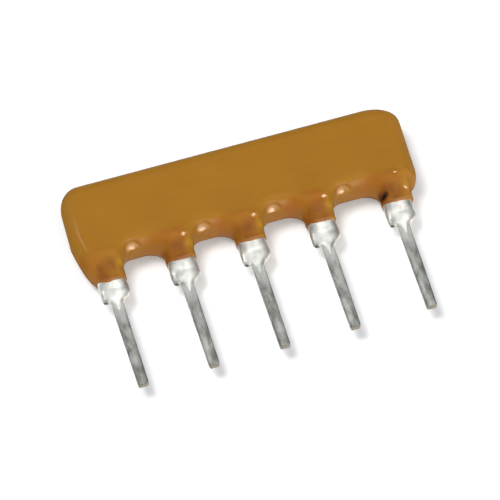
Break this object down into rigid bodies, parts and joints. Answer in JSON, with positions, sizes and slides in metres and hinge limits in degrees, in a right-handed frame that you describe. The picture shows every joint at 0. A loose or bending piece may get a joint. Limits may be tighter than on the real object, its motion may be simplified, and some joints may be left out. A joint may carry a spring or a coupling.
{
  "type": "resistor network",
  "caption": "Single in-line thick-film resistor network: a dipped ochre epoxy body with arches between its flat tinned clip leads, its resistors bussed to the lead at one end.",
  "frame": {"origin": "middle of the part's outline, on the flat back of the coat that it lies on", "axes": "+X along the row of leads from the common lead to the last, +Y from the pins towards the top edge of the body, +Z out of the front face"},
  "size_m": [0.0122, 0.0078, 0.0017],
  "materials": {
    "epoxy_coat": "glossy dipped epoxy, ochre",
    "alumina": "matt fired alumina",
    "silver_film": "matt fired silver film",
    "resistor_film": "matt fired resistor film",
    "glaze": "glossy fired glass",
    "solder": "bright tin-lead solder",
    "tinned_lead": "matt tin plate"
  },
  "bodies": {
    "root": {"conformal_coat": "epoxy_coat", "ceramic_substrate": "alumina", "glass_overglaze": "glaze", "bus_conductor": "silver_film", "terminal_pad_2": "silver_film", "terminal_pad_3": "silver_film", "terminal_pad_4": "silver_film", "terminal_pad_5": "silver_film", "resistor_film_2": "resistor_film", "resistor_film_3": "resistor_film", "resistor_film_4": "resistor_film", "resistor_film_5": "resistor_film", "solder_joint_1": "solder", "solder_joint_2": "solder", "solder_joint_3": "solder", "solder_joint_4": "solder", "solder_joint_5": "solder", "lead_1": "tinned_lead", "lead_2": "tinned_lead", "lead_3": "tinned_lead", "lead_4": "tinned_lead", "lead_5": "tinned_lead"}
  },
  "joints": []
}
